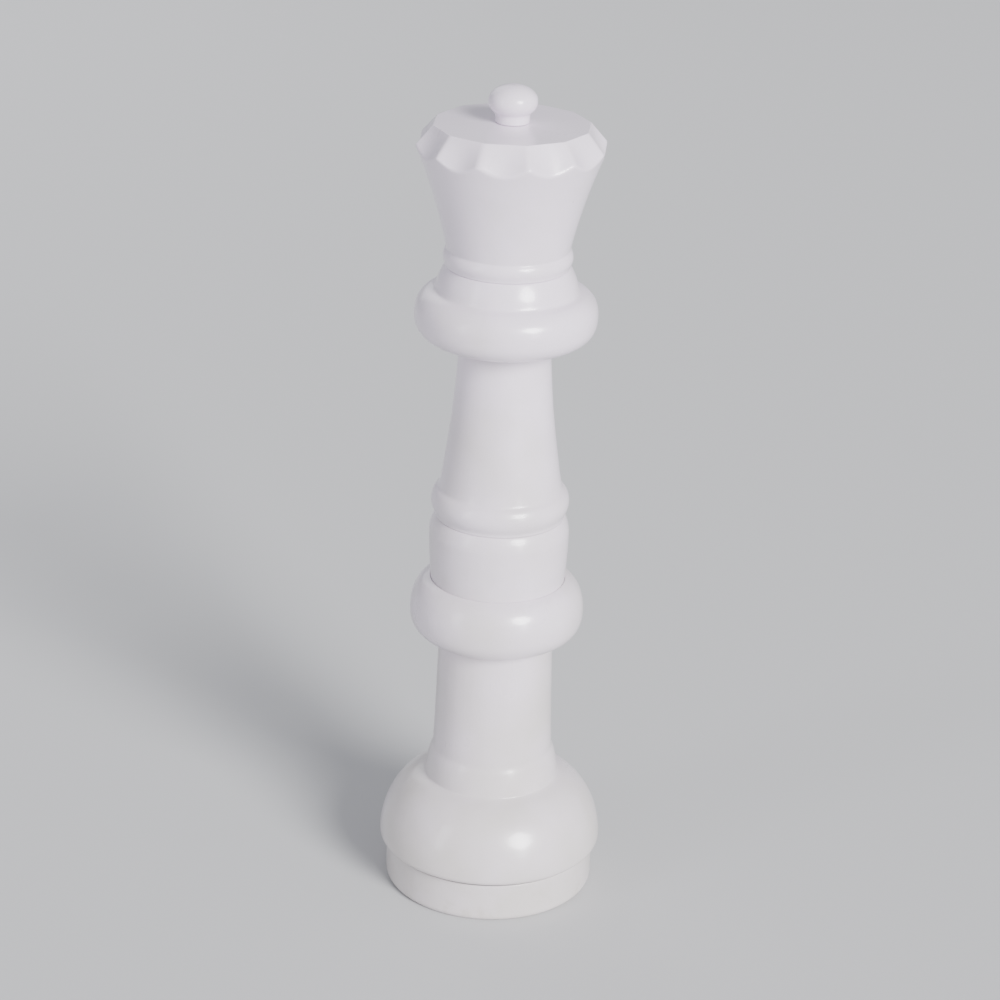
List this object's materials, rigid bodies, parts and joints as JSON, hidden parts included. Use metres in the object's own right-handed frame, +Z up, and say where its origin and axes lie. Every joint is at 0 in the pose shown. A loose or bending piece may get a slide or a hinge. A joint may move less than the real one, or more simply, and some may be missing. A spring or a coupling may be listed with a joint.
{
  "type": "giant chess piece",
  "caption": "Tall hollow lawn-chess queen in push-fit sections: bulged base for ballast, ringed column, collar, scalloped crown and ball finial.",
  "frame": {"origin": "centre of the ring that the piece stands on, at ground level", "axes": "+Z up along the turned axis; +X and +Y level, with -Y towards the front"},
  "size_m": [0.238, 0.238, 0.8828],
  "materials": {
    "white_plastic": "satin moulded",
    "black_rubber": "matte"
  },
  "bodies": {
    "foot": {"foot_cap": "white_plastic", "foot_seal": "black_rubber"},
    "bung_seal": {"bung_washer": "black_rubber"},
    "bung": {"filler_bung": "white_plastic"},
    "base": {"base_shell": "white_plastic"},
    "plinth": {"plinth_shell": "white_plastic", "plinth_ring": "black_rubber"},
    "body": {"body_shell": "white_plastic", "body_ring": "black_rubber"},
    "crown": {"crown_shell": "white_plastic", "crown_ring": "black_rubber"},
    "finial": {"finial": "white_plastic"}
  },
  "joints": [
    {"name": "bung_travel", "type": "slide", "parent": "foot", "child": "bung_seal", "axis": [0, 0, -1], "range_m": [0, 0.018]},
    {"name": "bung_turn", "type": "hinge", "parent": "bung_seal", "child": "bung", "pos_m": [0, 0, 0.006], "axis": [0, 0, -1], "range_deg": [0, 2160]},
    {"name": "base_lift", "type": "slide", "parent": "foot", "child": "base", "axis": [0, 0, 1], "range_m": [0, 0.06]},
    {"name": "plinth_lift", "type": "slide", "parent": "base", "child": "plinth", "axis": [0, 0, 1], "range_m": [0, 0.12]},
    {"name": "body_lift", "type": "slide", "parent": "plinth", "child": "body", "axis": [0, 0, 1], "range_m": [0, 0.08]},
    {"name": "crown_lift", "type": "slide", "parent": "body", "child": "crown", "axis": [0, 0, 1], "range_m": [0, 0.08]},
    {"name": "finial_lift", "type": "slide", "parent": "crown", "child": "finial", "axis": [0, 0, 1], "range_m": [0, 0.06]}
  ],
  "couplings": [
    {"joint": "bung_travel", "follows": "bung_turn", "m_per_rad": 0.00047746}
  ]
}
